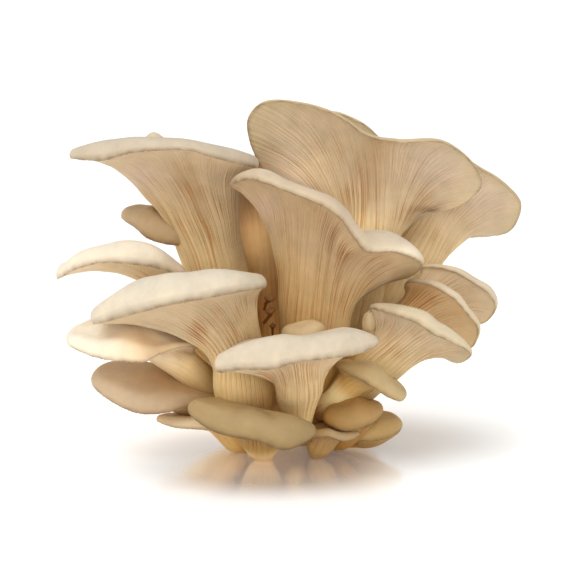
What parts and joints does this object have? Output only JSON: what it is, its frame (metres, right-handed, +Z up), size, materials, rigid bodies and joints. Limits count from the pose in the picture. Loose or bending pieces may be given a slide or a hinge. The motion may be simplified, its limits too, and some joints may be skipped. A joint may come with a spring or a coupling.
{
  "type": "oyster mushroom cluster",
  "caption": "Cut bunch of pale oyster mushrooms with fan-shaped caps, fine gills running down the stems and one short shared base.",
  "frame": {"origin": "on the flat cut that the bunch stands on, under the front stems' joint", "axes": "+X to the viewer's right, along the widest spread of the caps; +Y away from the front; +Z up"},
  "size_m": [0.1819, 0.1589, 0.1339],
  "materials": {
    "base": "matte",
    "tall_left": "matte",
    "tall_centre": "matte",
    "tall_rear": "matte",
    "back_tall": "matte",
    "tall_right": "matte",
    "right_upper": "matte",
    "right_middle": "matte",
    "right_lower": "matte",
    "right_bud": "matte",
    "centre_bud": "matte",
    "front_centre": "matte",
    "front_left": "matte",
    "left_middle": "matte",
    "left_small": "matte",
    "left_low": "matte",
    "left_lowest": "matte",
    "bottom_front": "matte",
    "bottom_left": "matte",
    "bottom_right": "matte",
    "right_oval": "matte",
    "right_back": "matte",
    "right_small": "matte",
    "rear_left": "matte",
    "rear_left_tall": "matte",
    "rear_right": "matte",
    "rear_middle": "matte",
    "rear_left_low": "matte",
    "rear_right_low": "matte",
    "rear_low": "matte"
  },
  "bodies": {
    "root": {"base": "base", "tall_left": "tall_left", "tall_centre": "tall_centre", "tall_rear": "tall_rear", "back_tall": "back_tall", "tall_right": "tall_right", "right_upper": "right_upper", "right_middle": "right_middle", "right_lower": "right_lower", "right_bud": "right_bud", "centre_bud": "centre_bud", "front_centre": "front_centre", "front_left": "front_left", "left_middle": "left_middle", "left_small": "left_small", "left_low": "left_low", "left_lowest": "left_lowest", "bottom_front": "bottom_front", "bottom_left": "bottom_left", "bottom_right": "bottom_right", "right_oval": "right_oval", "right_back": "right_back", "right_small": "right_small", "rear_left": "rear_left", "rear_left_tall": "rear_left_tall", "rear_right": "rear_right", "rear_middle": "rear_middle", "rear_left_low": "rear_left_low", "rear_right_low": "rear_right_low", "rear_low": "rear_low"}
  },
  "joints": []
}
